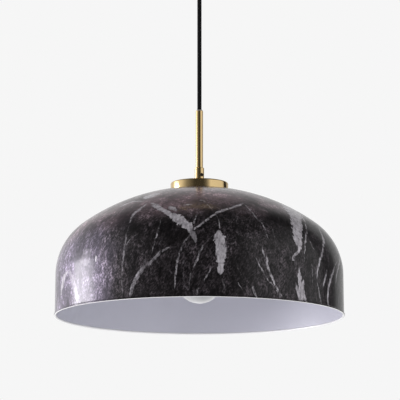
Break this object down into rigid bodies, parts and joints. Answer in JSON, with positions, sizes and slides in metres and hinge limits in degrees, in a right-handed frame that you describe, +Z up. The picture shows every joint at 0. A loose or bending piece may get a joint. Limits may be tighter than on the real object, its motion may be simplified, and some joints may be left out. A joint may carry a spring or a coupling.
{
  "type": "pendant light",
  "caption": "Pendant light: a wide metal dome with a marbled finish on a brass stem, hung from a ceiling canopy by a textile cord, with a screw-in opal bulb.",
  "frame": {"origin": "on the ceiling plane, on the lamp's axis, midway between the two slots of the ceiling bracket", "axes": "+Z up into the ceiling, +X along the row of slots, -Y towards the viewer of the picture"},
  "size_m": [0.3999, 0.4, 0.5029],
  "materials": {
    "marbled_metal": "glossy black marble lacquer outside, satin lilac-grey enamel inside",
    "brass": "polished, clear lacquered",
    "raw_brass": "plain turned",
    "steel": "zinc plated",
    "dark_steel": "blackened",
    "textile": "braided black textile sleeve",
    "nylon": "matt moulded",
    "white_plastic": "matt moulded",
    "phenolic": "glossy moulded",
    "ceramic": "glazed steatite",
    "bronze": "rolled spring strip",
    "aluminium": "bright pressed",
    "opal_glass": "glossy opal",
    "clear_glass": "clear",
    "black_glass": "fused black glass",
    "filament": "phosphor coat",
    "brown_core": "satin sheath",
    "blue_core": "satin sheath",
    "green_core": "satin sheath, green and yellow"
  },
  "bodies": {
    "ceiling": {"ceiling_bracket": "steel", "canopy": "brass", "canopy_screws": "brass", "grip_body": "brass", "grip_screw": "dark_steel", "grip_washer": "steel", "grip_nut": "raw_brass", "cord_top": "textile", "wire_live": "brown_core", "wire_neutral": "blue_core", "wire_earth": "green_core", "terminal_block": "white_plastic", "terminal_clamps": "raw_brass", "terminal_screws": "steel", "block_screw": "steel", "earth_tag": "steel", "earth_screw": "steel"},
    "cord": {"cord": "textile"},
    "lamp": {"stem_bush": "nylon", "stem": "brass", "collar": "brass", "set_screw": "dark_steel", "top_cap": "brass", "shade": "marbled_metal", "shade_washer": "steel", "lock_washer": "steel", "shade_nut": "raw_brass", "holder_cap": "phenolic", "lock_screw": "dark_steel", "cord_clamp": "white_plastic", "clamp_screws": "steel", "cord_inner": "textile", "lead_live": "brown_core", "lead_neutral": "blue_core", "holder_core": "ceramic", "holder_terminals": "raw_brass", "holder_screws": "steel", "holder_shell": "raw_brass", "holder_contact": "bronze", "holder_sleeve": "phenolic"},
    "bulb": {"bulb_glass": "opal_glass", "bulb_cap": "aluminium", "bulb_insulator": "black_glass", "bulb_contact": "aluminium", "bulb_mount": "clear_glass", "bulb_filaments": "filament"}
  },
  "joints": [
    {"name": "cord_swing", "type": "hinge", "parent": "ceiling", "child": "cord", "pos_m": [0, 0, -0.044], "axis": [0, 1, 0], "range_deg": [-20, 20]},
    {"name": "lamp_tilt", "type": "hinge", "parent": "cord", "child": "lamp", "pos_m": [0, 0, -0.213], "axis": [1, 0, 0], "range_deg": [-20, 20]},
    {"name": "bulb_unscrew", "type": "slide", "parent": "lamp", "child": "bulb", "axis": [0, 0, -1], "range_m": [0, 0.15]}
  ]
}
